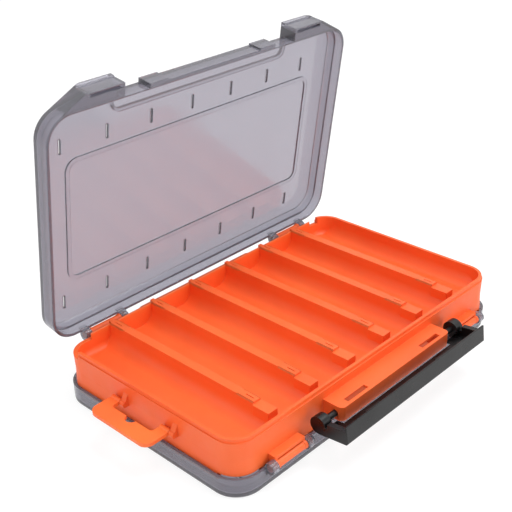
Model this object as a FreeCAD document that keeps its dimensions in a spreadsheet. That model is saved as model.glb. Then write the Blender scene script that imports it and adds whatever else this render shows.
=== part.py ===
"""A double-sided tackle box: one orange tray with seven compartments on each face, two clear lids,
two latch handles and a hanging tab.

The lower half of the box is the upper half turned over about the long axis, so each half is
modelled once, as if it were the upper one with its latch in front (-Y) and its hinge behind (+Y).
The origin is the centre of the face that the box rests on, +Z is up and all sizes are in mm.
"""
import FreeCAD, Part
import os

os.makedirs("parts", exist_ok=True)
doc = FreeCAD.newDocument("tackle_box")

# Driving dimensions
SIZES = [
    ("height", 50.0, "whole box, outside of one lid to outside of the other"),
    ("compartments", 7, "compartments on each face of the tray"),
    ("pitch", 37.0, "centre to centre of neighbouring compartments"),
    ("end_wall", 3.4, "half a pitch from the last compartment's centre to the tray's end face"),
    ("tray_width", 159.2, "front to back of the tray, over its ledges"),
    ("tray_corner", 16.0, "radius of the tray's upright corners"),
    ("tray_height", 31.0, "rim to rim"),
    ("wall_draft", 0.4, "how far the tray's outside leans in, from ledge to middle"),
    ("ledge_drop", 2.5, "rim above the ledge"),
    ("ledge_step", 0.8, "width of the ledge outside the rim"),
    ("rim_width", 2.1, "thickness of the rim at its top"),
    ("floor", 2.0, "floor between the upper and the lower compartments"),
    ("divider", 6.2, "thickness of a divider at its top"),
    ("pocket_draft", 0.8, "how far a compartment's side leans in, from rim to floor"),
    ("trough", 9.0, "radius between a compartment's long sides and its floor"),
    ("floor_fillet", 4.0, "radius round the floor of an end compartment, at its outer corners"),
    ("platform_reach", 19.0, "low front end of a divider, from the front wall's inside"),
    ("platform_drop", 1.7, "how far that end lies below the rim"),
    ("platform_width", 8.0, "width of that end"),
    ("drain_length", 6.0, "notch between that end and the front wall"),
    ("drain_depth", 8.0, "depth of the notch below the rim"),
    ("slit_length", 6.5, "blind slit in the top of a divider, before its low end"),
    ("slit_width", 0.7, "width of the slit"),
    ("slit_depth", 1.2, "depth of the slit"),
    ("slit_margin", 2.4, "slit to the divider's step"),
    ("neck_cut", 0.5, "how much narrower a divider is on each side beside its slits"),
    ("neck_length", 14.0, "length of those narrower ends"),
    ("neck_depth", 1.0, "depth of the shoulders that narrow them"),
    ("back_drop", 2.8, "back wall's top below the rim, in the middle"),
    ("back_half", 63.0, "half length of that lower stretch"),
    ("gate_drop", 5.0, "back wall's top below the rim, at the hinges"),
    ("gate_end", 112.0, "outer end of the hinge gates, from the middle"),
    ("gate_right", 121.0, "where the gate's lowered wall ends at the right, in the round corner"),
    ("tooth", 3.0, "width of the divider ends that stand up in the back wall"),
    ("wall_root", 1.2, "how far brackets, latch plates and bosses run into the tray's wall"),
    ("hinge_out", 5.5, "hinge axis behind the tray's ledge"),
    ("hinge_up", 9.8, "hinge axis above the middle of the box"),
    ("hinge_bar", 2.6, "radius of the hinge bar"),
    ("hinge_eye", 0.3, "eyes at a bar's ends, proud of the bar"),
    ("hinge_play", 0.08, "radial play of a lug on its bar"),
    ("lug_radius", 3.9, "outer radius of a lid's lug"),
    ("lug_width", 5.0, "length of a lug along the axis"),
    ("lug_skin", 0.8, "closed end of a lug's bore"),
    ("lug_beside", 4.3, "centre of the inner lug beyond the end of a latch handle"),
    ("lug_outer", 109.4, "centre of the outer lug, from the middle"),
    ("side_play", 0.3, "lug to bracket, along the axis"),
    ("bracket_arm", 2.0, "thickness of a bracket's arms"),
    ("shelf_thick", 2.0, "thickness of a bracket's shelf"),
    ("shelf_gap", 0.9, "shelf to bar"),
    ("shelf_reach", 5.5, "shelf beyond the ledge"),
    ("lid_gap", 0.5, "tray's ledge to the inside of a lid"),
    ("lid_wall", 2.0, "wall of a lid"),
    ("lid_plate", 1.8, "plate of a lid"),
    ("lid_skirt", 14.0, "depth of a lid, plate to rim"),
    ("lid_edge", 2.5, "radius round a lid's outer face"),
    ("lid_step", 1.8, "how much thicker a lid's wall is above the tray's rim"),
    ("lid_step_up", 2.0, "that step above the tray's rim"),
    ("vent_length", 10.0, "length of a vent slot, front to back"),
    ("vent_width", 1.6, "width of a vent slot"),
    ("vent_pitch", 36.45, "centre to centre of the vent slots"),
    ("vent_shift", -7.8, "middle vent slot from the middle of the lid"),
    ("vent_front", 28.3, "front row of vents, from the lid's front face"),
    ("vent_back", 19.9, "back row of vents, from the lid's back face"),
    ("bead_left", 114.0, "raised bead inside a lid, to the left of the middle"),
    ("bead_right", 111.5, "raised bead to the right of the middle"),
    ("bead_front", 38.6, "lid's front face to the bead"),
    ("bead_back", 34.8, "lid's back face to the bead"),
    ("bead_corner", 9.0, "outer corner radius of the bead"),
    ("bead_width", 3.0, "width of the bead"),
    ("bead_rise", 0.9, "bead proud of the plate"),
    ("handle_room", 3.5, "room in a lid beyond each end of a latch handle"),
    ("recess_reach", 14.5, "recess from the front face"),
    ("recess_depth", 2.6, "depth of the recess"),
    ("recess_corner", 5.0, "corner radius of the recess"),
    ("ear_outer", 105.0, "outer corner of an ear, from the middle"),
    ("ear_foot", 125.6, "where an ear's slope meets the lid's round corner, from the middle"),
    ("ear_root", 2.2, "that place behind the lid's front face"),
    ("ear_reach", 8.8, "ear beyond the lid's front face"),
    ("ear_cap", 3.5, "depth of the part of an ear that reaches so far"),
    ("ear_step", 0.8, "how much less the rest of the ear reaches"),
    ("ear_wall", 1.8, "ear beyond each end of its groove"),
    ("ear_front", 1.0, "wall in front of the groove"),
    ("ear_groove", 2.2, "width of the groove up into an ear"),
    ("ear_slot", 1.4, "width of the slot that goes on through the plate"),
    ("flange_half", 57.0, "half length of the flange that the latch hooks over"),
    ("flange_reach", 0.6, "flange beyond the lid's front face"),
    ("flank_depth", 1.2, "how far the lid's front is set back between flange and ear"),
    ("pad_inner", 42.0, "inner end of the flange's end pads, from the middle"),
    ("pad_reach", 1.2, "pads beyond the flange"),
    ("latch_out", 9.3, "latch axis in front of the tray's ledge"),
    ("latch_up", 1.5, "latch axis above the middle of the box"),
    ("latch_pin", 2.2, "radius of a latch's pins"),
    ("latch_play", 0.08, "radial play of a pin in its hole"),
    ("plate_half", 57.3, "half length of the latch plate"),
    ("plate_top", 7.0, "latch plate's top above the middle of the box"),
    ("plate_bottom", 3.0, "latch plate's underside below the middle of the box"),
    ("plate_front", 15.0, "latch plate's front edge from the tray's ledge"),
    ("plate_skin", 1.8, "thickness of the plate's top over its hollow"),
    ("plate_face", 2.0, "thickness of its front"),
    ("plate_end", 1.4, "wall between a pin hole and the hollow"),
    ("plate_corner", 3.5, "corner radius of the plate, seen from above"),
    ("plate_slot_inner", 29.0, "inner end of a slot in the plate, from the middle"),
    ("plate_slot_outer", 49.0, "outer end of that slot"),
    ("plate_slot_front", 12.6, "front edge of the slots, from the tray's ledge"),
    ("plate_slot_width", 3.6, "width of the slots"),
    ("handle_half", 73.5, "half length of a latch handle"),
    ("handle_reach", 22.4, "latch axis to the outside of the lip, latched"),
    ("handle_out", 6.0, "latch axis to the outside of the web, latched"),
    ("handle_web", 2.2, "thickness of the web"),
    ("handle_web_start", 7.5, "latch axis to the web's near edge"),
    ("handle_arm", 4.0, "thickness of the end arms"),
    ("shoulder_start", 2.4, "latch axis to the near edge of the web's shoulders beside the plate"),
    ("shoulder_play", 1.2, "shoulder to the end of the latch plate"),
    ("handle_corner", 1.6, "radius along the handle's outer edge"),
    ("lip_in", 6.4, "latch axis to the lip's free edge, inward"),
    ("lip_overhang", 3.4, "lip beyond the arms' inner edges"),
    ("lip_gap", 0.35, "lip to the floor of the recess"),
    ("hub_radius", 5.8, "radius of the hubs"),
    ("hub_length", 6.5, "length of the hubs"),
    ("pin_depth", 6.0, "how far a pin reaches into the plate"),
    ("pin_end_play", 0.4, "bottom of the hole beyond the pin's end"),
    ("block_inner", 30.0, "inner end of the stops on the web, from the middle"),
    ("block_outer", 44.0, "outer end of those stops"),
    ("block_near", 4.5, "web's near edge to the stops"),
    ("block_far", 9.5, "web's near edge to the stops' far side"),
    ("block_rise", 2.2, "stops proud of the web"),
    ("tab_axis", 2.3, "hanging tab's axis beyond the tray's end face"),
    ("tab_half", 26.8, "half width of the tab"),
    ("tab_arm", 8.2, "width of the tab's arms"),
    ("tab_reach", 19.2, "axis to the tab's outer edge"),
    ("tab_window", 7.4, "axis to the far edge of the tab's window"),
    ("tab_thick", 2.5, "thickness of the tab"),
    ("tab_corner", 6.0, "outer corners of the tab"),
    ("tab_window_corner", 2.0, "corners of the window"),
    ("notch_radius", 4.2, "round notch in the window for a peg"),
    ("notch_back", 0.4, "notch's centre inside the window's far edge"),
    ("tab_knuckle", 2.1, "radius of the tab's knuckles"),
    ("tab_pin", 1.1, "radius of the tab's pins"),
    ("tab_pin_length", 3.4, "length of the tab's pins"),
    ("tab_play", 0.08, "radial play of a tab pin"),
    ("boss_width", 4.0, "width of the bosses that hold the tab's pins"),
    ("boss_radius", 2.0, "radius of those bosses"),
    ("boss_rise", 8.5, "top of a boss on the wall, above the middle of the box"),
    ("lid_open_angle", 81.0, "degrees that the upper lid stands open"),
    ("handle_open_angle", 83.0, "degrees from latched to the front latch's stop"),
    ("rear_slack_angle", 15.0, "degrees that the rear latch hangs away from latched"),
]

sheet = doc.addObject("Spreadsheet::Sheet", "Sizes")
for row, (alias, number, meaning) in enumerate(SIZES, start=1):
    sheet.set("A%d" % row, alias)
    sheet.set("B%d" % row, str(number))
    sheet.set("C%d" % row, meaning)
    sheet.setAlias("B%d" % row, alias)
doc.recompute()


def s(text):
    """An expression in which every size name points at its cell in the sheet."""
    words = sorted((alias for alias, number, meaning in SIZES), key=len, reverse=True)
    out = ""
    word = ""
    for letter in str(text) + " ":
        if letter.isalnum() or letter == "_":
            word += letter
            continue
        out += "Sizes." + word if word in words else word
        out += letter
        word = ""
    return out.strip()


def number(text):
    """The value of an expression of sizes."""
    return float(sheet.evalExpression(s(text)))


# Places that several pieces share, as expressions of the sizes
MIDDLE = "(height / 2)"
TRAY_X = "(compartments * pitch / 2 + end_wall)"
TRAY_Y = "(tray_width / 2)"
RIM_Z = "(height / 2 + tray_height / 2)"
LEDGE_Z = "(height / 2 + tray_height / 2 - ledge_drop)"
FLOOR_Z = "(height / 2 + floor / 2)"
RIM_X = "(compartments * pitch / 2 + end_wall - ledge_step)"
RIM_Y = "(tray_width / 2 - ledge_step)"
INSIDE_X = "(compartments * pitch / 2 + end_wall - ledge_step - rim_width)"
INSIDE_Y = "(tray_width / 2 - ledge_step - rim_width)"
LID_IN_X = "(compartments * pitch / 2 + end_wall + lid_gap)"
LID_IN_Y = "(tray_width / 2 + lid_gap)"
LID_X = "(compartments * pitch / 2 + end_wall + lid_gap + lid_wall)"
LID_Y = "(tray_width / 2 + lid_gap + lid_wall)"
LID_RIM_Z = "(height - lid_skirt)"
LID_STEP_Z = "(height / 2 + tray_height / 2 + lid_step_up)"
PLATE_Z = "(height - lid_plate)"
RECESS_Z = "(height - recess_depth)"
HINGE_Y = "(tray_width / 2 + hinge_out)"
HINGE_Z = "(height / 2 + hinge_up)"
LATCH_Y = "(-tray_width / 2 - latch_out)"
LATCH_Z = "(height / 2 + latch_up)"
LUG_INNER = "(handle_half + lug_beside)"
HANDLE_ROOM_X = "(handle_half + handle_room)"
TAB_X = "(-compartments * pitch / 2 - end_wall - tab_axis)"
DIVIDERS = range(1, int(number("compartments")))
OVER = 1.0


def divider_x(index):
    """Middle of a divider, counted from the left."""
    return "((%d - compartments / 2) * pitch)" % index


def bind(piece, prop, text):
    piece.setExpression(prop, s(text))


def box(name, x, y, z):
    """A block between two places along each axis."""
    piece = doc.addObject("Part::Box", name)
    for prop, axis, (low, high) in (("Length", "x", x), ("Width", "y", y), ("Height", "z", z)):
        bind(piece, prop, "(%s) - (%s)" % (high, low))
        bind(piece, "Placement.Base." + axis, low)
    return piece


ALONG_X = FreeCAD.Rotation(FreeCAD.Vector(0, 0, 1), FreeCAD.Vector(1, 0, 0))
ALONG_Y = FreeCAD.Rotation(FreeCAD.Vector(0, 0, 1), FreeCAD.Vector(0, 1, 0))
ALONG_Z = FreeCAD.Rotation()
QUARTER_TURN = FreeCAD.Rotation(FreeCAD.Vector(0, 0, 1), 90)
TURNED_OVER = FreeCAD.Rotation(FreeCAD.Vector(1, 0, 0), 180)


def cylinder(name, turn, radius, length, start):
    """A round bar of some length from its start, along the axis that its turn gives."""
    piece = doc.addObject("Part::Cylinder", name)
    piece.Placement = FreeCAD.Placement(FreeCAD.Vector(), turn)
    bind(piece, "Radius", radius)
    bind(piece, "Height", length)
    for axis, place in zip("xyz", start):
        bind(piece, "Placement.Base." + axis, place)
    return piece


def drafted(name, x_low, x_high, y_low, y_high, z, lean_low, lean_high):
    """A block whose four sides lean: each end is drawn in by its own lean."""
    piece = doc.addObject("Part::Wedge", name)
    piece.Placement = FreeCAD.Placement(FreeCAD.Vector(), FreeCAD.Rotation(FreeCAD.Vector(1, 0, 0), 90))
    bind(piece, "Xmin", "(%s) + (%s)" % (x_low, lean_low))
    bind(piece, "Xmax", "(%s) - (%s)" % (x_high, lean_low))
    bind(piece, "X2min", "(%s) + (%s)" % (x_low, lean_high))
    bind(piece, "X2max", "(%s) - (%s)" % (x_high, lean_high))
    bind(piece, "Zmin", "(%s) - (%s)" % (lean_low, y_high))
    bind(piece, "Zmax", "(0 - (%s)) - (%s)" % (y_low, lean_low))
    bind(piece, "Z2min", "(%s) - (%s)" % (lean_high, y_high))
    bind(piece, "Z2max", "(0 - (%s)) - (%s)" % (y_low, lean_high))
    bind(piece, "Ymin", z[0])
    bind(piece, "Ymax", z[1])
    return piece


def rounded(name, piece, rules):
    """Round the edges that each rule picks, with the radius that it gives."""
    doc.recompute()
    edges = []
    for index, edge in enumerate(piece.Shape.Edges, start=1):
        for picks, radius in rules:
            if picks(edge):
                edges.append((index, number(radius), number(radius)))
                break
    result = doc.addObject("Part::Fillet", name)
    result.Base = piece
    result.Edges = edges
    return result


def direction(edge):
    return (edge.Vertexes[-1].Point - edge.Vertexes[0].Point).normalize()


def upright(edge):
    return len(edge.Vertexes) == 2 and abs(direction(edge).z) > 0.9


def level(height):
    """Picks the edges that lie at a height."""
    def picks(edge):
        return abs(edge.BoundBox.ZMin - number(height)) < 0.01 and edge.BoundBox.ZLength < 0.01
    return picks


def fuse(name, pieces):
    result = doc.addObject("Part::MultiFuse", name)
    result.Shapes = pieces
    return result


def cut(name, base, tools):
    result = doc.addObject("Part::Cut", name)
    result.Base = base
    result.Tool = tools[0] if len(tools) == 1 else fuse(name + "_tools", tools)
    return result


def span(sign, inner, outer):
    """Places between two distances from the middle, on the side of the sign, low one first."""
    if sign > 0:
        return (inner, outer)
    return ("0 - (%s)" % outer, "0 - (%s)" % inner)


def compartment(tag, index):
    """The hollow of one compartment: a trough, with the tray's round corners at the tray's ends."""
    first = index == 0
    last = index == int(number("compartments")) - 1
    low = "0 - " + INSIDE_X if first else divider_x(index) + " + divider / 2"
    high = INSIDE_X if last else divider_x(index + 1) + " - divider / 2"
    top = RIM_Z + " + %g" % OVER
    slope = "(-pocket_draft * %g / (tray_height / 2 - floor / 2))" % OVER
    hollow = drafted("hollow_%s_%d" % (tag, index), low, high, "0 - " + INSIDE_Y, INSIDE_Y,
                     (FLOOR_Z, top), "pocket_draft", slope)

    def long_floor_edge(edge):
        return level(FLOOR_Z)(edge) and edge.BoundBox.XLength < 0.01

    trough = rounded("trough_%s_%d" % (tag, index), hollow, [(long_floor_edge, "trough")])
    if not (first or last):
        return trough

    def outer_corner(edge):
        middle = edge.BoundBox.Center.x
        at_end = (first and middle < number(low) + 2) or (last and middle > number(high) - 2)
        return at_end and upright(edge)

    end = rounded("end_%s_%d" % (tag, index), hollow, [
        (outer_corner, "tray_corner - ledge_step - rim_width"),
        (level(FLOOR_Z), "floor_fillet"),
    ])
    both = doc.addObject("Part::MultiCommon", "compartment_%s_%d" % (tag, index))
    both.Shapes = [trough, end]
    return both


def hinge_bracket(tag):
    """Shelf, arms and bar of the two hinge brackets behind one face of the tray."""
    inner = LUG_INNER + " + lug_width / 2 + side_play"
    outer = "lug_outer - lug_width / 2 - side_play"
    bar_start = LUG_INNER + " - lug_width / 2 + lug_skin + side_play"
    bar_end = "lug_outer + lug_width / 2 - lug_skin - side_play"
    shelf_top = HINGE_Z + " - hinge_bar - shelf_gap"
    shelf_z = (shelf_top + " - shelf_thick", shelf_top)
    arm_y = (TRAY_Y + " - wall_root", HINGE_Y)
    arm_z = (shelf_z[0], HINGE_Z)
    pieces = []
    for sign, side in ((1, "r"), (-1, "l")):
        name = tag + "_" + side
        pieces.append(box("shelf_" + name, span(sign, inner, outer),
                          (arm_y[0], TRAY_Y + " + shelf_reach"), shelf_z))
        pieces.append(box("arm_in_" + name, span(sign, inner, inner + " + bracket_arm"), arm_y, arm_z))
        pieces.append(box("arm_out_" + name, span(sign, outer + " - bracket_arm", outer), arm_y, arm_z))
        for end, place in (("in", inner), ("out", outer + " - bracket_arm")):
            start = span(sign, place, place + " + bracket_arm")[0]
            pieces.append(cylinder("eye_%s_%s" % (end, name), ALONG_X, "hinge_bar + hinge_eye",
                                   "bracket_arm", (start, HINGE_Y, HINGE_Z)))
        start = span(sign, bar_start, bar_end)[0]
        pieces.append(cylinder("bar_" + name, ALONG_X, "hinge_bar", "(%s) - (%s)" % (bar_end, bar_start),
                               (start, HINGE_Y, HINGE_Z)))
    return pieces


def latch_plate(tag):
    """The plate in front of the tray that carries a latch handle: hollow below, with slots and pin holes."""
    front = "(0 - %s - plate_front)" % TRAY_Y
    blank = box("plate_blank_" + tag, ("0 - plate_half", "plate_half"),
                (front, "wall_root - " + TRAY_Y),
                (MIDDLE + " - plate_bottom", MIDDLE + " + plate_top"))

    def front_corner(edge):
        return upright(edge) and edge.BoundBox.YMin < number(front) + 1

    plate = rounded("plate_round_" + tag, blank, [(front_corner, "plate_corner")])
    slot_front = "0 - %s - plate_slot_front" % TRAY_Y
    hollow_end = "plate_half - pin_depth - pin_end_play - plate_end"
    holes = [box("plate_hollow_" + tag, ("0 - (%s)" % hollow_end, hollow_end),
                 (front + " + plate_face", "0 - " + TRAY_Y),
                 (MIDDLE + " - plate_bottom - %g" % OVER, MIDDLE + " + plate_top - plate_skin"))]
    for sign, side in ((1, "r"), (-1, "l")):
        holes.append(box("plate_slot_%s_%s" % (tag, side),
                         span(sign, "plate_slot_inner", "plate_slot_outer"),
                         (slot_front, slot_front + " + plate_slot_width"),
                         (MIDDLE, MIDDLE + " + plate_top + %g" % OVER)))
        depth = "pin_depth + pin_end_play + %g" % OVER
        start = "plate_half - pin_depth - pin_end_play" if sign > 0 else "0 - plate_half - %g" % OVER
        holes.append(cylinder("pin_hole_%s_%s" % (tag, side), ALONG_X, "latch_pin + latch_play", depth,
                              (start, LATCH_Y, LATCH_Z)))
    return cut("latch_plate_" + tag, plate, holes)


def tray_half(tag):
    """The upper half of the tray, from the middle of its floor to its rim."""
    wall = drafted("wall_block_" + tag, "0 - " + TRAY_X, TRAY_X, "0 - " + TRAY_Y, TRAY_Y,
                   (MIDDLE, LEDGE_Z), "wall_draft", "0")
    wall = rounded("wall_" + tag, wall, [(upright, "tray_corner")])
    rim = box("rim_block_" + tag, ("0 - " + RIM_X, RIM_X), ("0 - " + RIM_Y, RIM_Y), (LEDGE_Z, RIM_Z))
    rim = rounded("rim_" + tag, rim, [(upright, "tray_corner - ledge_step")])
    hollows = [compartment(tag, index) for index in range(int(number("compartments")))]

    step_y = "(platform_reach - %s)" % INSIDE_Y
    drain_y = "(drain_length - %s)" % INSIDE_Y
    top = RIM_Z + " + %g" % OVER
    for index in DIVIDERS:
        middle = divider_x(index)
        name = "%s_%d" % (tag, index)
        platform_x = (middle + " - platform_width / 2", middle + " + platform_width / 2")
        hollows.append(box("step_" + name, platform_x, ("0 - " + INSIDE_Y, step_y),
                           (RIM_Z + " - platform_drop", top)))
        hollows.append(box("drain_" + name, platform_x, ("pocket_draft - " + INSIDE_Y, drain_y),
                           (RIM_Z + " - drain_depth", top)))
        slit_x = (middle + " - slit_width / 2", middle + " + slit_width / 2")
        slit_z = (RIM_Z + " - slit_depth", top)
        front_end = step_y + " + slit_margin"
        back_end = INSIDE_Y + " - slit_margin"
        hollows.append(box("slit_front_" + name, slit_x, (front_end, front_end + " + slit_length"), slit_z))
        hollows.append(box("slit_back_" + name, slit_x, (back_end + " - slit_length", back_end), slit_z))
        for side, shift in (("r", "divider / 2 - neck_cut"), ("l", "0 - divider / 2")):
            neck_x = (middle + " + " + shift, middle + " + " + shift + " + neck_cut")
            neck_z = (RIM_Z + " - neck_depth", top)
            hollows.append(box("neck_front_%s_%s" % (name, side), neck_x,
                               (step_y, step_y + " + neck_length"), neck_z))
            hollows.append(box("neck_back_%s_%s" % (name, side), neck_x,
                               (INSIDE_Y + " - neck_length", INSIDE_Y), neck_z))

    back_y = (INSIDE_Y, TRAY_Y + " + %g" % OVER)
    gate_z = (RIM_Z + " - gate_drop", top)
    hollows.append(box("back_drop_" + tag, ("0 - back_half", "back_half"), back_y,
                       (RIM_Z + " - back_drop", top)))
    for sign, side in ((1, "r"), (-1, "l")):
        hollows.append(box("gate_%s_%s" % (tag, side), span(sign, "back_half", "gate_end"), back_y,
                           gate_z))
    corner_y = (TRAY_Y + " - tray_corner", back_y[1])
    hollows.append(box("gate_corner_%s_l" % tag, ("0 - %s - %g" % (TRAY_X, OVER), "0 - gate_end"),
                       corner_y, gate_z))
    hollows.append(box("gate_corner_%s_r" % tag, ("gate_end", "gate_right"), corner_y, gate_z))

    shell = cut("shell_" + tag, fuse("solid_" + tag, [wall, rim]), hollows)
    extras = [shell]
    for index in DIVIDERS:
        middle = divider_x(index)
        name = "%s_%d" % (tag, index)
        extras.append(box("platform_" + name,
                          (middle + " - platform_width / 2", middle + " + platform_width / 2"),
                          (drain_y, step_y), (FLOOR_Z, RIM_Z + " - platform_drop")))
        extras.append(box("tooth_" + name, (middle + " - tooth / 2", middle + " + tooth / 2"),
                          (INSIDE_Y, TRAY_Y), (RIM_Z + " - gate_drop - %g" % OVER, RIM_Z)))
    extras += hinge_bracket(tag)
    extras.append(latch_plate(tag))
    return fuse("half_" + tag, extras)


def turned_over(piece):
    """Turn an upper piece about the long axis, so that it serves the lower face."""
    centre = FreeCAD.Vector(0, 0, number(MIDDLE))
    piece.Placement = FreeCAD.Placement(FreeCAD.Vector(), TURNED_OVER, centre)
    return piece


def tab_bosses():
    """The two bosses on the tray's left end, each with a blind hole for a pin of the hanging tab."""
    bosses = []
    holes = []
    for side, arm_front in (("back", "tab_half - tab_arm"), ("front", "0 - tab_half")):
        end = arm_front + " - side_play"
        start = end + " - boss_width"
        foot = doc.addObject("Part::Wedge", "boss_foot_" + side)
        foot.Placement = FreeCAD.Placement(FreeCAD.Vector(), QUARTER_TURN)
        places = {
            "Xmin": start,
            "Xmax": end,
            "X2min": start,
            "X2max": end,
            "Ymin": TRAY_X + " - wall_root",
            "Ymax": "0 - " + TAB_X,
            "Zmin": MIDDLE + " - boss_radius",
            "Z2min": MIDDLE + " - boss_radius",
            "Zmax": MIDDLE + " + boss_rise",
            "Z2max": MIDDLE + " + boss_radius",
        }
        for prop, place in places.items():
            bind(foot, prop, place)
        bosses.append(foot)
        bosses.append(cylinder("boss_nose_" + side, ALONG_Y, "boss_radius", "boss_width",
                               (TAB_X, start, MIDDLE)))
        depth = "tab_pin_length - side_play + pin_end_play"
        holes.append(cylinder("tab_hole_" + side, ALONG_Y, "tab_pin + tab_play", depth + " + %g" % OVER,
                              (TAB_X, "%s - (%s)" % (end, depth), MIDDLE)))
    return bosses, holes


def make_tray():
    upper = tray_half("upper")
    lower = turned_over(tray_half("lower"))
    bosses, holes = tab_bosses()
    tray = cut("tray", fuse("tray_body", [upper, lower] + bosses), holes)
    tray.Label = "tray"
    return tray


def lid_lugs(tag):
    """The lugs behind a lid that run on the tray's hinge bars, and their bores."""
    solids = []
    bores = []
    for sign, side in ((1, "r"), (-1, "l")):
        for end, middle in (("in", LUG_INNER), ("out", "lug_outer")):
            name = "%s_%s_%s" % (end, side, tag)
            along = span(sign, middle + " - lug_width / 2", middle + " + lug_width / 2")
            solids.append(cylinder("lug_" + name, ALONG_X, "lug_radius", "lug_width",
                                   (along[0], HINGE_Y, HINGE_Z)))
            solids.append(box("lug_neck_" + name, along, (LID_IN_Y + " + lid_wall / 2", HINGE_Y),
                              (HINGE_Z, HINGE_Z + " + lug_radius")))
            solids.append(box("lug_root_" + name, along,
                              (LID_IN_Y + " + lid_wall / 2", HINGE_Y + " - lug_radius / 2"),
                              (HINGE_Z + " + lug_radius / 2", LID_RIM_Z + " + lug_radius")))
            bore_from = {"in": middle + " - lug_width / 2 + lug_skin",
                         "out": middle + " - lug_width / 2 - %g" % OVER}[end]
            bore_long = "lug_width - lug_skin + %g" % OVER
            start = span(sign, bore_from, "%s + %s" % (bore_from, bore_long))[0]
            bores.append(cylinder("bore_" + name, ALONG_X, "hinge_bar + hinge_play", bore_long,
                                  (start, HINGE_Y, HINGE_Z)))
    return solids, bores


def lid_ear(tag, sign, side):
    """One ear on a lid's front, and what is cut from it: the step, the groove and its slot."""
    name = "%s_%s" % (tag, side)
    ear = doc.addObject("Part::Wedge", "ear_" + name)
    ear.Placement = FreeCAD.Placement(FreeCAD.Vector(), TURNED_OVER)
    foot = span(sign, HANDLE_ROOM_X, "ear_foot")
    front = span(sign, HANDLE_ROOM_X, "ear_outer")
    places = {
        "Xmin": foot[0],
        "Xmax": foot[1],
        "X2min": front[0],
        "X2max": front[1],
        "Ymin": LID_Y + " - ear_root",
        "Ymax": LID_Y + " + ear_reach",
        "Zmin": "0 - height",
        "Z2min": "0 - height",
        "Zmax": "0 - " + LID_RIM_Z,
        "Z2max": "0 - " + LID_RIM_Z,
    }
    for prop, place in places.items():
        bind(ear, prop, place)

    def slope_edge(edge):
        along = direction(edge)
        return level("height")(edge) and abs(along.x) > 0.1 and abs(along.y) > 0.1

    ear = rounded("ear_round_" + name, ear, [(slope_edge, "lid_edge")])

    step_y = "(ear_step - ear_reach - %s)" % LID_Y
    below = LID_RIM_Z + " - %g" % OVER
    step = box("ear_step_" + name, span(sign, HANDLE_ROOM_X + " - %g" % OVER, "ear_foot"),
               ("%s - ear_step - %g" % (step_y, OVER), step_y), (below, "height - ear_cap"))
    along = span(sign, HANDLE_ROOM_X + " + ear_wall", "ear_outer - ear_wall")
    groove_y = step_y + " + ear_front"
    groove = box("ear_groove_" + name, along, (groove_y, groove_y + " + ear_groove"), (below, PLATE_Z))
    slot = box("ear_slot_" + name, along, (groove_y, groove_y + " + ear_slot"),
               (PLATE_Z + " - %g" % OVER, "height + %g" % OVER))
    return ear, [step, groove, slot]


def bead(tag):
    """The raised line inside a lid's plate, a rectangle with round corners."""
    rings = []
    for name, inset, z in (("outer", "0", (PLATE_Z + " - bead_rise", "height")),
                           ("inner", "bead_width", (PLATE_Z + " - bead_rise - %g" % OVER,
                                                    "height + %g" % OVER))):
        ring = box("bead_block_%s_%s" % (name, tag), (inset + " - bead_left", "bead_right - " + inset),
                   ("bead_front - %s + %s" % (LID_Y, inset), "%s - bead_back - %s" % (LID_Y, inset)), z)
        rings.append(rounded("bead_%s_%s" % (name, tag), ring, [(upright, "bead_corner - " + inset)]))
    return cut("bead_" + tag, rings[0], [rings[1]])


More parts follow.
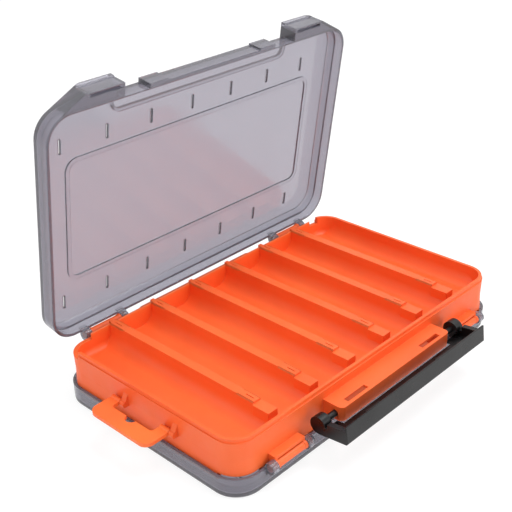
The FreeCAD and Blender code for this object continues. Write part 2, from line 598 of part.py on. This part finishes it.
def make_lid(tag):
    """A lid in its closed place over the tray's upper face."""
    outside = box("lid_block_" + tag, ("0 - " + LID_X, LID_X), ("0 - " + LID_Y, LID_Y),
                  (LID_RIM_Z, "height"))
    outside = rounded("lid_corners_" + tag, outside, [(upright, "tray_corner + lid_gap + lid_wall")])
    outside = rounded("lid_outside_" + tag, outside, [(level("height"), "lid_edge")])

    mouth = box("lid_mouth_block_" + tag, ("0 - " + LID_IN_X, LID_IN_X), ("0 - " + LID_IN_Y, LID_IN_Y),
                (LID_RIM_Z + " - %g" % OVER, LID_STEP_Z))
    mouth = rounded("lid_mouth_" + tag, mouth, [(upright, "tray_corner + lid_gap")])
    deep_x = LID_IN_X + " - lid_step"
    deep_y = LID_IN_Y + " - lid_step"
    deep = box("lid_deep_block_" + tag, ("0 - (%s)" % deep_x, deep_x), ("0 - (%s)" % deep_y, deep_y),
               (LID_STEP_Z + " - %g" % OVER, PLATE_Z))
    deep = rounded("lid_deep_corners_" + tag, deep, [(upright, "tray_corner + lid_gap - lid_step")])
    deep = rounded("lid_deep_" + tag, deep, [(level(PLATE_Z), "lid_edge - lid_plate / 2")])

    recess_z = (RECESS_Z, "height + %g" % OVER)
    recess_back = "recess_reach - " + LID_Y
    recess = box("recess_block_" + tag, ("0 - " + HANDLE_ROOM_X, HANDLE_ROOM_X),
                 ("0 - %s - ear_reach" % LID_Y, recess_back), recess_z)

    def inner_corner(edge):
        return upright(edge) and edge.BoundBox.YMax > number(recess_back) - 1

    recess = rounded("recess_" + tag, recess, [(inner_corner, "recess_corner")])
    under = box("recess_under_block_" + tag,
                ("0 - %s - lid_plate" % HANDLE_ROOM_X, HANDLE_ROOM_X + " + lid_plate"),
                ("0 - %s - ear_reach" % LID_Y, recess_back + " + lid_plate"),
                (RECESS_Z + " - lid_plate", "height + %g" % OVER))

    def under_corner(edge):
        return upright(edge) and edge.BoundBox.YMax > number(recess_back + " + lid_plate") - 1

    under = rounded("recess_under_" + tag, under, [(under_corner, "recess_corner + lid_plate")])
    room = fuse("lid_room_" + tag, [mouth, deep])
    hollow = cut("lid_hollow_" + tag, room, [under, bead(tag)])

    solids = [cut("lid_shell_" + tag, outside, [hollow])]
    cuts = [recess]
    solids.append(box("flange_" + tag, ("0 - flange_half", "flange_half"),
                      ("0 - %s - flange_reach" % LID_Y, "lid_wall / 2 - " + LID_Y), (LID_RIM_Z, RECESS_Z)))
    for sign, side in ((1, "r"), (-1, "l")):
        solids.append(box("pad_%s_%s" % (tag, side), span(sign, "pad_inner", "flange_half"),
                          ("0 - %s - flange_reach - pad_reach" % LID_Y, "0 - " + LID_Y),
                          (LID_RIM_Z, RECESS_Z)))
        cuts.append(box("flank_%s_%s" % (tag, side), span(sign, "flange_half", HANDLE_ROOM_X),
                        ("0 - %s - %g" % (LID_Y, OVER), "flank_depth - " + LID_Y),
                        (LID_RIM_Z + " - %g" % OVER, "height")))
        solid, hollows = lid_ear(tag, sign, side)
        solids.append(cut("ear_body_%s_%s" % (tag, side), solid, [room]))
        cuts += hollows
    lugs, bores = lid_lugs(tag)
    solids += lugs
    cuts += bores
    for index in range(int(number("compartments"))):
        middle = "vent_shift + (%d - (compartments - 1) / 2) * vent_pitch" % index
        for row, place in (("front", "vent_front - " + LID_Y), ("back", LID_Y + " - vent_back")):
            cuts.append(box("vent_%s_%s_%d" % (row, tag, index),
                            (middle + " - vent_width / 2", middle + " + vent_width / 2"),
                            (place + " - vent_length / 2", place + " + vent_length / 2"),
                            (PLATE_Z + " - %g" % OVER, "height + %g" % OVER)))
    return cut("lid_" + tag, fuse("lid_solid_" + tag, solids), cuts)


def make_handle(tag):
    """A latch handle in its latched place in front of the box."""
    web_outer = LATCH_Y + " - handle_out"
    lip_top = LATCH_Z + " + handle_reach"
    lip_under = RECESS_Z + " + lip_gap"
    whole_x = ("0 - handle_half", "handle_half")
    blank = box("bar_blank_" + tag, whole_x, (web_outer, LATCH_Y + " + lip_in"),
                (LATCH_Z + " + handle_web_start", lip_top))

    def outer_edge(edge):
        bounds = edge.BoundBox
        return bounds.ZMin > number(lip_top) - 0.01 and bounds.YMax < number(web_outer) + 0.01

    blank = rounded("bar_round_" + tag, blank, [(outer_edge, "handle_corner")])
    room = box("bar_room_" + tag, ("handle_arm - handle_half", "handle_half - handle_arm"),
               (web_outer + " + handle_web", LATCH_Y + " + lip_in + %g" % OVER),
               (LATCH_Z + " + handle_web_start - %g" % OVER, lip_under))
    behind = box("bar_behind_" + tag, ("0 - handle_half - %g" % OVER, "handle_half + %g" % OVER),
                 (LATCH_Y + " + lip_in - lip_overhang", LATCH_Y + " + lip_in + %g" % OVER),
                 (LATCH_Z + " + handle_web_start - %g" % OVER, lip_under))
    pieces = [cut("bar_" + tag, blank, [room, behind])]
    for sign, side in ((1, "r"), (-1, "l")):
        name = tag + "_" + side
        arm_x = span(sign, "handle_half - handle_arm", "handle_half")
        pieces.append(box("handle_arm_" + name, arm_x, (web_outer, LATCH_Y),
                          (LATCH_Z, LATCH_Z + " + handle_web_start")))
        pieces.append(box("shoulder_" + name, span(sign, "plate_half + shoulder_play", "handle_half"),
                          (web_outer, web_outer + " + handle_web"),
                          (LATCH_Z + " + shoulder_start", LATCH_Z + " + handle_web_start + %g" % OVER)))
        hub_x = span(sign, "handle_half - hub_length", "handle_half")
        pieces.append(cylinder("hub_" + name, ALONG_X, "hub_radius", "hub_length",
                               (hub_x[0], LATCH_Y, LATCH_Z)))
        pin_x = span(sign, "plate_half - pin_depth", "handle_half - hub_length / 2")
        pieces.append(cylinder("pin_" + name, ALONG_X, "latch_pin", "(%s) - (%s)" % (pin_x[1], pin_x[0]),
                               (pin_x[0], LATCH_Y, LATCH_Z)))
        pieces.append(box("block_" + name, span(sign, "block_inner", "block_outer"),
                          (web_outer + " + handle_web / 2", web_outer + " + handle_web + block_rise"),
                          (LATCH_Z + " + handle_web_start + block_near",
                           LATCH_Z + " + handle_web_start + block_far")))
    return fuse("handle_" + tag, pieces)


def swing(piece, y, z, degrees, turn_over=False):
    """Turn a piece about a long axis through a place, after turning it over if it serves the lower face."""
    pose = FreeCAD.Placement()
    centre = FreeCAD.Vector(0, 0, number(MIDDLE))
    axis = FreeCAD.Vector(0, number(y), number(z))
    turn = FreeCAD.Placement(FreeCAD.Vector(), FreeCAD.Rotation(FreeCAD.Vector(1, 0, 0), degrees), axis)
    if turn_over:
        pose = FreeCAD.Placement(FreeCAD.Vector(), TURNED_OVER, centre)
    piece.Placement = pose.multiply(turn)


def make_tab():
    """The hanging tab: a flat loop with a notched window, on two pins that point to the front."""
    plate = box("tab_blank", (TAB_X + " - tab_reach", TAB_X), ("0 - tab_half", "tab_half"),
                (MIDDLE + " - tab_thick / 2", MIDDLE + " + tab_thick / 2"))

    def outer_corner(edge):
        return upright(edge) and edge.BoundBox.XMin < number(TAB_X + " - tab_reach") + 1

    plate = rounded("tab_plate", plate, [(outer_corner, "tab_corner")])
    through = (MIDDLE + " - tab_thick", MIDDLE + " + tab_thick")
    window = box("tab_window_block", (TAB_X + " - tab_window", TAB_X + " + tab_reach"),
                 ("tab_arm - tab_half", "tab_half - tab_arm"), through)

    def far_corner(edge):
        return upright(edge) and edge.BoundBox.XMin < number(TAB_X + " - tab_window") + 1

    window = rounded("tab_window_round", window, [(far_corner, "tab_window_corner")])
    notch = cylinder("tab_notch", ALONG_Z, "notch_radius", "2 * tab_thick",
                     (TAB_X + " - tab_window + notch_back", "0", through[0]))
    pieces = [cut("tab_loop", plate, [window, notch])]
    for side, front in (("back", "tab_half - tab_arm"), ("front", "0 - tab_half")):
        pieces.append(cylinder("knuckle_" + side, ALONG_Y, "tab_knuckle", "tab_arm", (TAB_X, front, MIDDLE)))
        pieces.append(cylinder("tab_pin_" + side, ALONG_Y, "tab_pin", "tab_pin_length + tab_arm / 2",
                               (TAB_X, front + " - tab_pin_length", MIDDLE)))
    tab = fuse("hanging_tab", pieces)
    tab.Label = "hanging_tab"
    return tab


tray = make_tray()
top_lid = make_lid("top")
bottom_lid = make_lid("bottom")
front_handle = make_handle("front")
rear_handle = make_handle("rear")
hanging_tab = make_tab()
doc.recompute()

swing(top_lid, HINGE_Y, HINGE_Z, -number("lid_open_angle"))
turned_over(bottom_lid)
swing(front_handle, LATCH_Y, LATCH_Z, number("handle_open_angle"))
swing(rear_handle, LATCH_Y, LATCH_Z, number("rear_slack_angle"), turn_over=True)
top_lid.Label = "top_lid"
bottom_lid.Label = "bottom_lid"
front_handle.Label = "front_latch_handle"
rear_handle.Label = "rear_latch_handle"
doc.recompute()

for piece in doc.Objects:
    if "Invalid" in piece.State or "Error" in piece.State:
        raise RuntimeError("%s failed: %s" % (piece.Label, piece.State))

for piece in (tray, top_lid, bottom_lid, front_handle, rear_handle, hanging_tab):
    shape = piece.Shape
    if shape.isNull() or not shape.isValid() or len(shape.Solids) != 1:
        raise RuntimeError("%s is not one sound solid" % piece.Label)
    print("%-20s %9.1f mm3  %s" % (piece.Label, shape.Volume, shape.BoundBox))
    shape.exportStep("parts/%s.step" % piece.Label)
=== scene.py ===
"""Double-sided tackle box: plastic finishes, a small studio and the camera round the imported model.

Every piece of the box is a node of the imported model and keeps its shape. This file gives the pieces their
materials and sets up the floor, the lamps, the sky and the camera.
"""

import math
from collections import namedtuple

import bpy
from mathutils import Matrix, Vector

bl_info = {
    "name": "Tackle Box",
    "version": (1, 0, 0),
    "blender": (4, 5, 0),
    "location": "View3D > Sidebar > Tackle Box",
    "description": "Plastic finishes and a small studio for a double-sided tackle box",
    "category": "Object",
}

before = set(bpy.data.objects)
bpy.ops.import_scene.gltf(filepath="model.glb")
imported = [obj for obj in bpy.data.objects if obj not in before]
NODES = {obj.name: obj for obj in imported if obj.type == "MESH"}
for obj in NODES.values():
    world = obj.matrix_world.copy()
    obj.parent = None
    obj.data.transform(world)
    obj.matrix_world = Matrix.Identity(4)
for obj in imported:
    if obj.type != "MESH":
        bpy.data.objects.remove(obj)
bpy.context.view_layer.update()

TRAY = "tray"
LIDS = ("top_lid", "bottom_lid")
HANDLES = ("front_latch_handle", "rear_latch_handle")
TAB = "hanging_tab"

# Camera: the photograph's width in pixels, the sensor's width in millimetres, the depth range in metres.
PHOTO_SIDE = 512.0
SENSOR_WIDTH = 36.0
NEAREST_SEEN = 0.01
FURTHEST_SEEN = 100.0

# Skin of a moulding. Scales are noise features per metre and heights are in metres. The grain is fine and
# the sink is broad, and the roughness drifts by rough_below and rough_above round its own value.
Skin = namedtuple("Skin", "grain_scale grain_height sink_scale sink_height "
                          "rough_scale rough_below rough_above")
ORANGE_SKIN = Skin(grain_scale=2600.0, grain_height=0.000012, sink_scale=30.0, sink_height=0.0003,
                   rough_scale=90.0, rough_below=0.04, rough_above=0.05)
SMOKED_SKIN = Skin(grain_scale=900.0, grain_height=0.000004, sink_scale=22.0, sink_height=0.0002,
                   rough_scale=40.0, rough_below=0.03, rough_above=0.04)
BLACK_SKIN = Skin(grain_scale=3000.0, grain_height=0.000014, sink_scale=45.0, sink_height=0.0002,
                  rough_scale=120.0, rough_below=0.04, rough_above=0.06)
EDGE_SAMPLES = 6

# Noise is centred on a half, and most of it lies between these two values.
NOISE_LOW = 0.35
NOISE_HIGH = 0.65

# Orange plastic: light sinks in a little, red the furthest.
ORANGE_IOR = 1.49
ORANGE_DRIFT_SCALE = 14.0
GLOW_WEIGHT = 0.15
GLOW_REACH = (1.0, 0.25, 0.1)
GLOW_DEPTH = 0.003

SMOKED_IOR = 1.46

# Black plastic: a painted sheen lets it drift in random patches to a paler black, this many times the
# colour and this much more.
BLACK_IOR = 1.42
BLACK_SHEEN_SCALE = 60.0
SHEEN_TIMES = 1.7
SHEEN_PLUS = 0.004

# Studio, in metres and watts. The floor lies just under the box, so that the two faces don't fight.
WHITE = (1.0, 1.0, 1.0, 1.0)
FLOOR_DROP = 0.0002
FLOOR_SHINE = 1.1
LAMP_SIDE = 0.8
LAMP_AIM = (0.0, 0.0, 0.06)
LAMPS = (
    ("key_lamp", (0.35, -0.25, 1.4), 14.0),
    ("side_lamp", (-1.2, 0.2, 0.8), 3.5),
    ("front_lamp", (0.5, -1.3, 0.4), 5.0),
)


class TackleBoxColours(bpy.types.PropertyGroup):
    """Colours of the plastics and the floor."""

    tray_orange: bpy.props.FloatVectorProperty(
        name="Tray orange",
        description="Plastic of the divided tray",
        subtype="COLOR", size=3, min=0.0, max=1.0, default=(0.9, 0.142, 0.026))
    tray_deep: bpy.props.FloatVectorProperty(
        name="Tray deep orange",
        description="Darker orange that the tray's plastic drifts to",
        subtype="COLOR", size=3, min=0.0, max=1.0, default=(0.86, 0.115, 0.018))
    tab_orange: bpy.props.FloatVectorProperty(
        name="Tab orange",
        description="Plastic of the hanging tab",
        subtype="COLOR", size=3, min=0.0, max=1.0, default=(0.92, 0.2, 0.035))
    lid_smoke: bpy.props.FloatVectorProperty(
        name="Lid smoke",
        description="Tint that the lids' clear plastic leaves in light passing through it",
        subtype="COLOR", size=3, min=0.0, max=1.0, default=(0.55, 0.54, 0.6))
    handle_black: bpy.props.FloatVectorProperty(
        name="Handle black",
        description="Plastic of the two latch handles",
        subtype="COLOR", size=3, min=0.0, max=1.0, default=(0.002, 0.0017, 0.002))
    floor_white: bpy.props.FloatVectorProperty(
        name="Floor white",
        description="Pale studio floor",
        subtype="COLOR", size=3, min=0.0, max=1.0, default=(0.9, 0.9, 0.9))


class TackleBoxFinish(bpy.types.PropertyGroup):
    """How rough, how dense and how rounded the plastics look."""

    tray_roughness: bpy.props.FloatProperty(
        name="Tray roughness",
        description="Satin of the orange plastic",
        subtype="FACTOR", min=0.0, max=1.0, default=0.48)
    lid_roughness: bpy.props.FloatProperty(
        name="Lid roughness",
        description="Roughness of the smoked plastic",
        subtype="FACTOR", min=0.0, max=1.0, default=0.12)
    lid_haze: bpy.props.FloatProperty(
        name="Lid haze",
        description="Share of the light that the smoked plastic scatters instead of passing it",
        subtype="FACTOR", min=0.0, max=1.0, default=0.17)
    lid_density: bpy.props.FloatProperty(
        name="Lid density",
        description="How fast the smoked plastic swallows light, per metre",
        min=0.0, max=2000.0, default=235.0)
    handle_roughness: bpy.props.FloatProperty(
        name="Handle roughness",
        description="Satin of the black plastic",
        subtype="FACTOR", min=0.0, max=1.0, default=0.3)
    edge_radius: bpy.props.FloatProperty(
        name="Edge radius",
        description="Rounding that the light shows along moulded edges",
        subtype="DISTANCE", unit="LENGTH", min=0.0, max=0.002, default=0.0004)
    lid_edge_radius: bpy.props.FloatProperty(
        name="Lid edge radius",
        description="Softer rounding along the edges of the lids",
        subtype="DISTANCE", unit="LENGTH", min=0.0, max=0.003, default=0.0009)


class TackleBoxStage(bpy.types.PropertyGroup):
    """Camera, floor and sky."""

    camera_place: bpy.props.FloatVectorProperty(
        name="Camera place",
        description="Where the camera stands",
        subtype="XYZ", unit="LENGTH", size=3, default=(-0.4200, -0.3800, 0.3798))
    camera_azimuth: bpy.props.FloatProperty(
        name="Camera azimuth",
        description="Turn of the camera about the vertical, from straight in front",
        subtype="ANGLE", unit="ROTATION", default=math.radians(-45.725))
    camera_elevation: bpy.props.FloatProperty(
        name="Camera elevation",
        description="How far the camera looks down",
        subtype="ANGLE", unit="ROTATION", default=math.radians(27.857))
    camera_roll: bpy.props.FloatProperty(
        name="Camera roll",
        description="Turn of the camera about its own line of sight",
        subtype="ANGLE", unit="ROTATION", default=math.radians(-1.732))
    focal_pixels: bpy.props.FloatProperty(
        name="Focal length in pixels",
        description="Focal length for a frame 512 pixels wide",
        min=100.0, max=5000.0, default=952.06)
    floor_side: bpy.props.FloatProperty(
        name="Floor side",
        description="Side of the square studio floor",
        subtype="DISTANCE", unit="LENGTH", min=1.0, max=50.0, default=16.0)
    floor_glow: bpy.props.FloatProperty(
        name="Floor glow",
        description="Share of plain white that the camera sees in the floor",
        subtype="FACTOR", min=0.0, max=1.0, default=0.78)
    sky_strength: bpy.props.FloatProperty(
        name="Sky strength",
        description="Soft light from all round",
        min=0.0, max=5.0, default=0.68)


def add_node(tree, kind, at, **values):
    """Adds a shader node and sets its named inputs. An underscore stands for a space."""
    node = tree.nodes.new(kind)
    node.location = at
    for socket, value in values.items():
        node.inputs[socket.replace("_", " ")].default_value = value
    return node


def new_material(name):
    """A node material that holds only its output."""
    material = bpy.data.materials.new(name)
    material.use_nodes = True
    tree = material.node_tree
    tree.nodes.clear()
    output = add_node(tree, "ShaderNodeOutputMaterial", (900, 0))
    return material, tree, output


def opaque(colour):
    """A colour with a full alpha."""
    return (*colour, 1.0)


def object_place(tree):
    """Coordinates that lie still on the piece."""
    return add_node(tree, "ShaderNodeTexCoord", (-1100, 0)).outputs["Object"]


def varied(tree, place, scale, low, high, at):
    """A value that drifts between low and high over the surface."""
    noise = add_node(tree, "ShaderNodeTexNoise", at, Scale=scale, Detail=2.0)
    spread = add_node(tree, "ShaderNodeMapRange", (at[0] + 200, at[1]),
                      From_Min=NOISE_LOW, From_Max=NOISE_HIGH, To_Min=low, To_Max=high)
    tree.links.new(place, noise.inputs["Vector"])
    tree.links.new(noise.outputs["Fac"], spread.inputs["Value"])
    return spread.outputs["Result"]


def varied_colour(tree, place, scale, first, second):
    """A colour that drifts between two others over the surface."""
    mix = add_node(tree, "ShaderNodeMix", (0, 250))
    mix.data_type = "RGBA"
    mix.inputs["A"].default_value = opaque(first)
    mix.inputs["B"].default_value = opaque(second)
    tree.links.new(varied(tree, place, scale, 0.0, 1.0, (-900, 250)), mix.inputs["Factor"])
    return mix.outputs["Result"]


def moulded_normal(tree, place, skin, radius):
    """Rounded edges under a broad sink and a fine grain, as a moulding has them."""
    edge = add_node(tree, "ShaderNodeBevel", (-500, -500), Radius=radius)
    edge.samples = EDGE_SAMPLES
    broad = add_node(tree, "ShaderNodeTexNoise", (-900, -420), Scale=skin.sink_scale, Detail=1.0)
    fine = add_node(tree, "ShaderNodeTexNoise", (-900, -650), Scale=skin.grain_scale, Detail=3.0)
    sink = add_node(tree, "ShaderNodeBump", (-250, -420), Strength=1.0, Distance=skin.sink_height)
    grain = add_node(tree, "ShaderNodeBump", (0, -420), Strength=1.0, Distance=skin.grain_height)
    links = tree.links
    links.new(place, broad.inputs["Vector"])
    links.new(place, fine.inputs["Vector"])
    links.new(broad.outputs["Fac"], sink.inputs["Height"])
    links.new(edge.outputs["Normal"], sink.inputs["Normal"])
    links.new(fine.outputs["Fac"], grain.inputs["Height"])
    links.new(sink.outputs["Normal"], grain.inputs["Normal"])
    return grain.outputs["Normal"]


def link_skin(tree, place, shader, output, skin, roughness, radius):
    """Gives a shader a moulding's drifting roughness and its normal, and shows it."""
    rough = varied(tree, place, skin.rough_scale, roughness - skin.rough_below,
                   roughness + skin.rough_above, (-900, 0))
    links = tree.links
    links.new(rough, shader.inputs["Roughness"])
    links.new(moulded_normal(tree, place, skin, radius), shader.inputs["Normal"])
    links.new(shader.outputs["BSDF"], output.inputs["Surface"])


def orange_plastic(name, colour, deep, roughness, radius):
    """Satin orange plastic, a little deeper here and there, with a faint grain."""
    material, tree, output = new_material(name)
    place = object_place(tree)
    shader = add_node(tree, "ShaderNodeBsdfPrincipled", (500, 0), IOR=ORANGE_IOR,
                      Subsurface_Weight=GLOW_WEIGHT, Subsurface_Radius=GLOW_REACH,
                      Subsurface_Scale=GLOW_DEPTH)
    shader.subsurface_method = "RANDOM_WALK"
    tree.links.new(varied_colour(tree, place, ORANGE_DRIFT_SCALE, colour, deep),
                   shader.inputs["Base Color"])
    link_skin(tree, place, shader, output, ORANGE_SKIN, roughness, radius)
    return material


def smoked_plastic(name, smoke, haze, density, roughness, radius):
    """Clear plastic with smoke in it: the thicker the wall, the darker it gets."""
    material, tree, output = new_material(name)
    place = object_place(tree)
    shader = add_node(tree, "ShaderNodeBsdfPrincipled", (500, 0), IOR=SMOKED_IOR,
                      Transmission_Weight=1.0 - haze, Base_Color=opaque(smoke))
    inside = add_node(tree, "ShaderNodeVolumeAbsorption", (500, -400),
                      Color=opaque(smoke), Density=density)
    link_skin(tree, place, shader, output, SMOKED_SKIN, roughness, radius)
    tree.links.new(inside.outputs["Volume"], output.inputs["Volume"])
    return material


def black_plastic(name, colour, roughness, radius):
    """Satin black plastic with a painted sheen, a paler black here and there in random patches, and a fine
    grain.
    """
    material, tree, output = new_material(name)
    place = object_place(tree)
    shader = add_node(tree, "ShaderNodeBsdfPrincipled", (500, 0), IOR=BLACK_IOR)
    # Painted sheen: a paler black, laid into the base colour in random patches.
    painted_sheen = tuple(channel * SHEEN_TIMES + SHEEN_PLUS for channel in colour)
    tree.links.new(varied_colour(tree, place, BLACK_SHEEN_SCALE, colour, painted_sheen),
                   shader.inputs["Base Color"])
    link_skin(tree, place, shader, output, BLACK_SKIN, roughness, radius)
    return material


def wear(node_name, material):
    """Gives a carried-over node its finish in every material slot."""
    mesh = NODES[node_name].data
    if not mesh.materials:
        mesh.materials.append(material)
    for index in range(len(mesh.materials)):
        mesh.materials[index] = material


class TACKLEBOX_OT_tray(bpy.types.Operator):
    """Finish the divided tray"""

    bl_idname = "tackle_box.tray"
    bl_label = "Tray"
    bl_options = {"REGISTER", "UNDO"}

    def execute(self, context):
        colours = context.scene.tackle_box_colours
        finish = context.scene.tackle_box_finish
        wear(TRAY, orange_plastic("orange_tray_plastic", colours.tray_orange, colours.tray_deep,
                                  finish.tray_roughness, finish.edge_radius))
        return {"FINISHED"}


class TACKLEBOX_OT_lids(bpy.types.Operator):
    """Finish the two see-through lids"""

    bl_idname = "tackle_box.lids"
    bl_label = "Lids"
    bl_options = {"REGISTER", "UNDO"}

    def execute(self, context):
        colours = context.scene.tackle_box_colours
        finish = context.scene.tackle_box_finish
        plastic = smoked_plastic("smoked_lid_plastic", colours.lid_smoke, finish.lid_haze,
                                 finish.lid_density, finish.lid_roughness,
                                 finish.lid_edge_radius)
        for lid in LIDS:
            wear(lid, plastic)
        return {"FINISHED"}


class TACKLEBOX_OT_handles(bpy.types.Operator):
    """Finish the two latch handles"""

    bl_idname = "tackle_box.handles"
    bl_label = "Latch handles"
    bl_options = {"REGISTER", "UNDO"}

    def execute(self, context):
        colours = context.scene.tackle_box_colours
        finish = context.scene.tackle_box_finish
        plastic = black_plastic("black_handle_plastic", colours.handle_black,
                                finish.handle_roughness, finish.edge_radius)
        for handle in HANDLES:
            wear(handle, plastic)
        return {"FINISHED"}


class TACKLEBOX_OT_tab(bpy.types.Operator):
    """Finish the hanging tab"""

    bl_idname = "tackle_box.tab"
    bl_label = "Hanging tab"
    bl_options = {"REGISTER", "UNDO"}

    def execute(self, context):
        colours = context.scene.tackle_box_colours
        finish = context.scene.tackle_box_finish
        wear(TAB, orange_plastic("orange_tab_plastic", colours.tab_orange, colours.tray_orange,
                                 finish.tray_roughness, finish.edge_radius))
        return {"FINISHED"}


def seen_by_camera(tree):
    """1 for what the camera sees straight, in a reflection or through the lids."""
    path = add_node(tree, "ShaderNodeLightPath", (-400, 300))
    seen = path.outputs["Is Camera Ray"]
    for ray, at in (("Is Glossy Ray", (-200, 300)), ("Is Transmission Ray", (-100, 300))):
        either = add_node(tree, "ShaderNodeMath", at)
        either.operation = "MAXIMUM"
        tree.links.new(seen, either.inputs[0])
        tree.links.new(path.outputs[ray], either.inputs[1])
        seen = either.outputs["Value"]
    return seen


def studio_floor(side, colour, glow):
    """A flat pale floor that shows nearly white and still takes the shadow."""
    mesh = bpy.data.meshes.new("studio_floor")
    half = side / 2.0
    mesh.from_pydata([(-half, -half, -FLOOR_DROP), (half, -half, -FLOOR_DROP),
                      (half, half, -FLOOR_DROP), (-half, half, -FLOOR_DROP)], [], [(0, 1, 2, 3)])
    floor = bpy.data.objects.new("studio_floor", mesh)
    bpy.context.scene.collection.objects.link(floor)
    material, tree, output = new_material("studio_floor_paper")
    paper = add_node(tree, "ShaderNodeBsdfDiffuse", (200, 100), Color=opaque(colour))
    plain = add_node(tree, "ShaderNodeEmission", (200, -100), Strength=FLOOR_SHINE)
    share = add_node(tree, "ShaderNodeMath", (0, 300))
    share.operation = "MULTIPLY"
    share.inputs[1].default_value = glow
    mix = add_node(tree, "ShaderNodeMixShader", (500, 0))
    links = tree.links
    links.new(seen_by_camera(tree), share.inputs[0])
    links.new(share.outputs["Value"], mix.inputs["Fac"])
    links.new(paper.outputs["BSDF"], mix.inputs[1])
    links.new(plain.outputs["Emission"], mix.inputs[2])
    links.new(mix.outputs["Shader"], output.inputs["Surface"])
    mesh.materials.append(material)


def studio_sky(strength):
    """Soft white light from all round, plain white where it is seen."""
    world = bpy.data.worlds.new("studio_sky")
    bpy.context.scene.world = world
    world.use_nodes = True
    tree = world.node_tree
    tree.nodes.clear()
    output = add_node(tree, "ShaderNodeOutputWorld", (600, 0))
    light = add_node(tree, "ShaderNodeBackground", (200, 100), Color=WHITE, Strength=strength)
    plain = add_node(tree, "ShaderNodeBackground", (200, -100), Color=WHITE, Strength=1.0)
    mix = add_node(tree, "ShaderNodeMixShader", (400, 0))
    links = tree.links
    links.new(seen_by_camera(tree), mix.inputs["Fac"])
    links.new(light.outputs["Background"], mix.inputs[1])
    links.new(plain.outputs["Background"], mix.inputs[2])
    links.new(mix.outputs["Shader"], output.inputs["Surface"])


def soft_lamp(name, place, watts):
    """A square studio lamp that looks at the box."""
    light = bpy.data.lights.new(name, "AREA")
    light.shape = "SQUARE"
    light.size = LAMP_SIDE
    light.energy = watts
    lamp = bpy.data.objects.new(name, light)
    bpy.context.scene.collection.objects.link(lamp)
    lamp.location = place
    lamp.rotation_euler = (Vector(LAMP_AIM) - Vector(place)).to_track_quat("-Z", "Y").to_euler()


def photo_camera(stage):
    """A camera at the photograph's viewpoint."""
    azimuth, elevation, roll = stage.camera_azimuth, stage.camera_elevation, stage.camera_roll
    back = Vector((math.sin(azimuth) * math.cos(elevation),
                   -math.cos(azimuth) * math.cos(elevation), math.sin(elevation)))
    right = Vector((math.cos(azimuth), math.sin(azimuth), 0.0))
    up = back.cross(right)
    turned_right = right * math.cos(roll) + up * math.sin(roll)
    turned_up = up * math.cos(roll) - right * math.sin(roll)
    data = bpy.data.cameras.new("photo_camera")
    data.sensor_width = SENSOR_WIDTH
    data.sensor_fit = "HORIZONTAL"
    data.lens = stage.focal_pixels / PHOTO_SIDE * SENSOR_WIDTH
    data.clip_start = NEAREST_SEEN
    data.clip_end = FURTHEST_SEEN
    camera = bpy.data.objects.new("photo_camera", data)
    bpy.context.scene.collection.objects.link(camera)
    turn = Matrix((turned_right, turned_up, back)).transposed()
    camera.matrix_world = Matrix.Translation(stage.camera_place) @ turn.to_4x4()
    bpy.context.scene.camera = camera


class TACKLEBOX_OT_stage(bpy.types.Operator):
    """Set the floor, the sky, the soft lamps and the camera"""

    bl_idname = "tackle_box.stage"
    bl_label = "Stage"
    bl_options = {"REGISTER", "UNDO"}

    def execute(self, context):
        colours = context.scene.tackle_box_colours
        stage = context.scene.tackle_box_stage
        context.scene.view_settings.view_transform = "Standard"
        studio_floor(stage.floor_side, colours.floor_white, stage.floor_glow)
        studio_sky(stage.sky_strength)
        for name, place, watts in LAMPS:
            soft_lamp(name, place, watts)
        photo_camera(stage)
        return {"FINISHED"}


class TACKLEBOX_PT_panel(bpy.types.Panel):
    """Steps that dress the tackle box"""

    bl_idname = "TACKLEBOX_PT_panel"
    bl_label = "Tackle Box"
    bl_space_type = "VIEW_3D"
    bl_region_type = "UI"
    bl_category = "Tackle Box"

    def draw(self, context):
        layout = self.layout
        for operator in OPERATORS:
            layout.operator(operator.bl_idname)
        for group in (context.scene.tackle_box_colours, context.scene.tackle_box_finish,
                      context.scene.tackle_box_stage):
            box = layout.box()
            for name in group.__annotations__:
                box.prop(group, name)


OPERATORS = (TACKLEBOX_OT_tray, TACKLEBOX_OT_lids, TACKLEBOX_OT_handles, TACKLEBOX_OT_tab,
             TACKLEBOX_OT_stage)
CLASSES = (TackleBoxColours, TackleBoxFinish, TackleBoxStage, *OPERATORS, TACKLEBOX_PT_panel)


def register():
    for each in CLASSES:
        bpy.utils.register_class(each)
    bpy.types.Scene.tackle_box_colours = bpy.props.PointerProperty(type=TackleBoxColours)
    bpy.types.Scene.tackle_box_finish = bpy.props.PointerProperty(type=TackleBoxFinish)
    bpy.types.Scene.tackle_box_stage = bpy.props.PointerProperty(type=TackleBoxStage)


def unregister():
    del bpy.types.Scene.tackle_box_stage
    del bpy.types.Scene.tackle_box_finish
    del bpy.types.Scene.tackle_box_colours
    for each in reversed(CLASSES):
        bpy.utils.unregister_class(each)


def main():
    """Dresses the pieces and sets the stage."""
    register()
    bpy.ops.tackle_box.tray()
    bpy.ops.tackle_box.lids()
    bpy.ops.tackle_box.handles()
    bpy.ops.tackle_box.tab()
    bpy.ops.tackle_box.stage()


if __name__ == "__main__":
    main()
